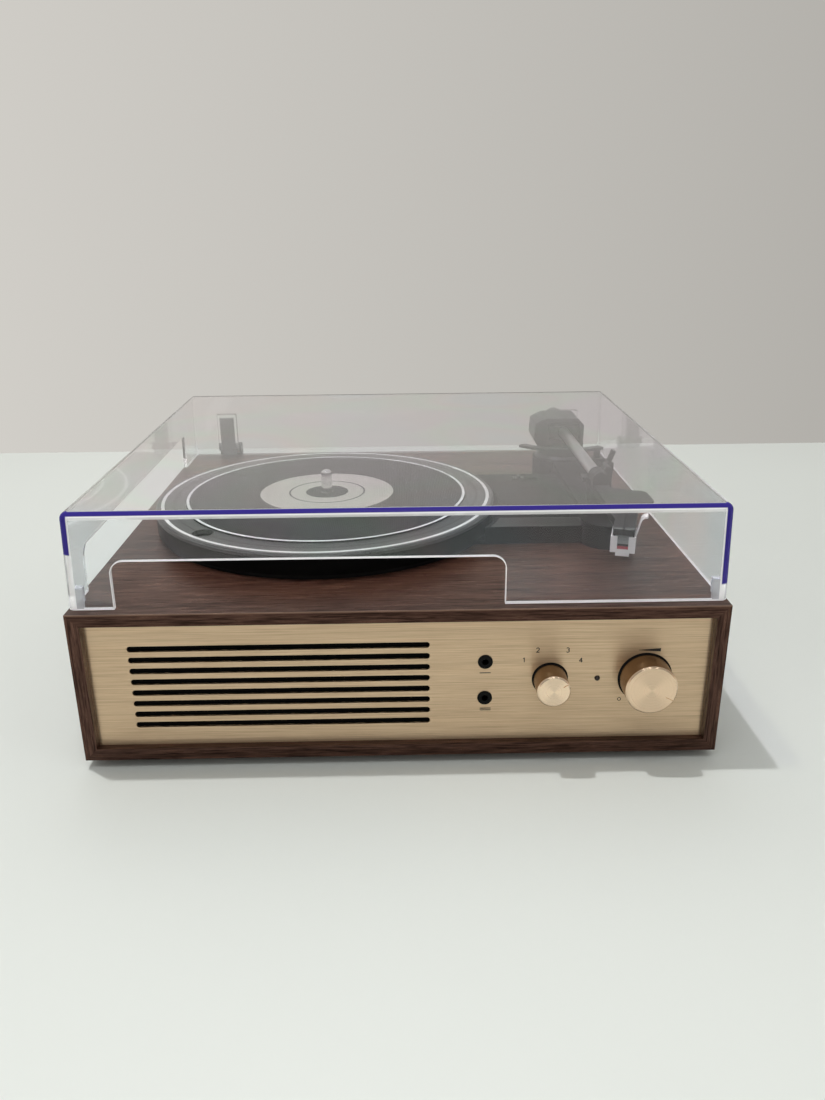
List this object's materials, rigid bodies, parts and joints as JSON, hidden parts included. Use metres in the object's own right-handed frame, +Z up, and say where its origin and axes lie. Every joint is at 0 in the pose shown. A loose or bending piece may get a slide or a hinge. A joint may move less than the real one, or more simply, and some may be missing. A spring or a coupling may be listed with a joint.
{
  "type": "record player",
  "caption": "Table-top record player with a wood-grain cabinet, built-in speakers, belt-driven platter, tone arm with cue lift and a clear hinged lid.",
  "frame": {"origin": "bottom centre of the whole object, on the table", "axes": "+Z up, +X to the right seen from the front, +Y to the back; the front panel faces -Y"},
  "size_m": [0.35, 0.347, 0.1465],
  "materials": {
    "walnut": "dark wood-grain wrap, satin",
    "black_board": "painted board, matt",
    "gold_panel": "brushed along its length, anodised gold",
    "rose_gold": "spun face and turned side, anodised",
    "grille_cloth": "black open weave",
    "black_plastic": "fine moulded grain",
    "inlay": "smooth, slightly glossy",
    "platter": "satin moulded",
    "mat": "dotted mat with printed rings",
    "steel": "polished",
    "aluminium": "satin",
    "brass": "turned",
    "rubber": "matt",
    "dark_metal": "satin black",
    "speaker_paper": "pressed paper",
    "circuit_board": "lacquered",
    "cartridge": "moulded grey",
    "stylus": "red moulded",
    "lamp": "dark lens",
    "clear_lid": "clear moulded, polished",
    "clear_guard": "milky clear"
  },
  "bodies": {
    "cabinet": {"cabinet_top": "walnut", "cabinet_bottom": "walnut", "cabinet_left": "walnut", "cabinet_right": "walnut", "rear_panel": "black_board", "rear_screws": "steel", "front_panel": "gold_panel", "speaker_baffle": "black_board", "grille_cloth": "grille_cloth", "speaker_frames": "dark_metal", "speaker_cones": "speaker_paper", "speaker_magnets": "dark_metal", "amplifier_board": "circuit_board", "board_standoffs": "brass", "heat_sink": "aluminium", "volume_control": "dark_metal", "source_switch": "dark_metal", "aux_jack": "black_plastic", "headphone_jack": "black_plastic", "pilot_lamp": "lamp", "terminal_plate": "black_plastic", "line_out_sockets": "brass", "power_inlet": "black_plastic", "feet": "rubber", "deck_plate": "black_plastic", "bridge_inlay": "inlay", "platter_bearing": "brass", "thrust_ball": "steel", "motor": "aluminium", "motor_grommets": "rubber", "drive_belt": "rubber", "arm_pillar": "black_plastic", "swing_shaft": "steel", "cue_sleeve": "black_plastic", "arm_rest": "black_plastic", "hinge_bases": "black_plastic", "hinge_pins": "steel"},
    "lid": {"dust_cover": "clear_lid", "hinge_leaves": "black_plastic"},
    "platter": {"platter": "platter", "platter_mat": "mat", "spindle": "steel"},
    "pulley": {"motor_pulley": "brass", "motor_shaft": "steel"},
    "arm_carrier": {"bearing_housing": "black_plastic"},
    "arm": {"pivot_block": "dark_metal", "arm_tube": "aluminium", "head_shell": "black_plastic", "cartridge": "cartridge", "stylus": "stylus"},
    "counterweight": {"counterweight": "dark_metal"},
    "force_dial": {"force_dial": "black_plastic"},
    "stylus_guard": {"stylus_guard": "clear_guard"},
    "cue_lever": {"cue_lever": "black_plastic"},
    "lift": {"lift_platform": "dark_metal"},
    "volume_knob": {"volume_knob": "rose_gold", "volume_shaft": "steel"},
    "source_knob": {"source_knob": "rose_gold", "source_shaft": "steel"},
    "speed_switch": {"speed_switch": "black_plastic"}
  },
  "joints": [
    {"name": "lid_hinge", "type": "hinge", "parent": "cabinet", "child": "lid", "pos_m": [0, 0.169, 0.0978], "axis": [-1, 0, 0], "range_deg": [0, 75]},
    {"name": "platter_spin", "type": "hinge", "parent": "cabinet", "child": "platter", "pos_m": [-0.048, -0.008, 0.093], "axis": [0, 0, 1], "continuous": true},
    {"name": "pulley_spin", "type": "hinge", "parent": "cabinet", "child": "pulley", "pos_m": [-0.11747, -0.07993, 0.093], "axis": [0, 0, 1], "continuous": true},
    {"name": "arm_swing", "type": "hinge", "parent": "cabinet", "child": "arm_carrier", "pos_m": [0.126, 0.088, 0.119], "axis": [0, 0, -1], "range_deg": [0, 46]},
    {"name": "arm_tilt", "type": "hinge", "parent": "arm_carrier", "child": "arm", "pos_m": [0.126, 0.088, 0.129], "axis": [-1, 0, 0], "range_deg": [0, 2.6]},
    {"name": "counterweight_turn", "type": "hinge", "parent": "arm", "child": "counterweight", "pos_m": [0.126, 0.118, 0.129], "axis": [0, 1, 0], "range_deg": [-180, 180]},
    {"name": "force_dial_turn", "type": "hinge", "parent": "arm", "child": "force_dial", "pos_m": [0.126, 0.108, 0.129], "axis": [0, 1, 0], "range_deg": [-180, 180]},
    {"name": "guard_slide", "type": "slide", "parent": "arm", "child": "stylus_guard", "axis": [-0.2924, -0.9563, 0], "range_m": [0, 0.014]},
    {"name": "cue_lever_turn", "type": "hinge", "parent": "cabinet", "child": "cue_lever", "pos_m": [0.15394, 0.04631, 0.1118], "axis": [0, 1, 0], "range_deg": [0, 60.05]},
    {"name": "lift_slide", "type": "slide", "parent": "cabinet", "child": "lift", "axis": [0, 0, 1], "range_m": [0, 0.00201]},
    {"name": "volume_turn", "type": "hinge", "parent": "cabinet", "child": "volume_knob", "pos_m": [0.1334, -0.1585, 0.049], "axis": [0, -1, 0], "range_deg": [-15, 255]},
    {"name": "source_turn", "type": "hinge", "parent": "cabinet", "child": "source_knob", "pos_m": [0.0814, -0.1585, 0.049], "axis": [0, -1, 0], "range_deg": [0, 90]},
    {"name": "speed_slide", "type": "slide", "parent": "cabinet", "child": "speed_switch", "axis": [1, 0, 0], "range_m": [0, 0.01]}
  ],
  "couplings": [
    {"joint": "pulley_spin", "follows": "platter_spin", "ratio": 13},
    {"joint": "cue_lever_turn", "follows": "arm_tilt", "ratio": 23.077},
    {"joint": "lift_slide", "follows": "arm_tilt", "m_per_rad": 0.044074}
  ]
}
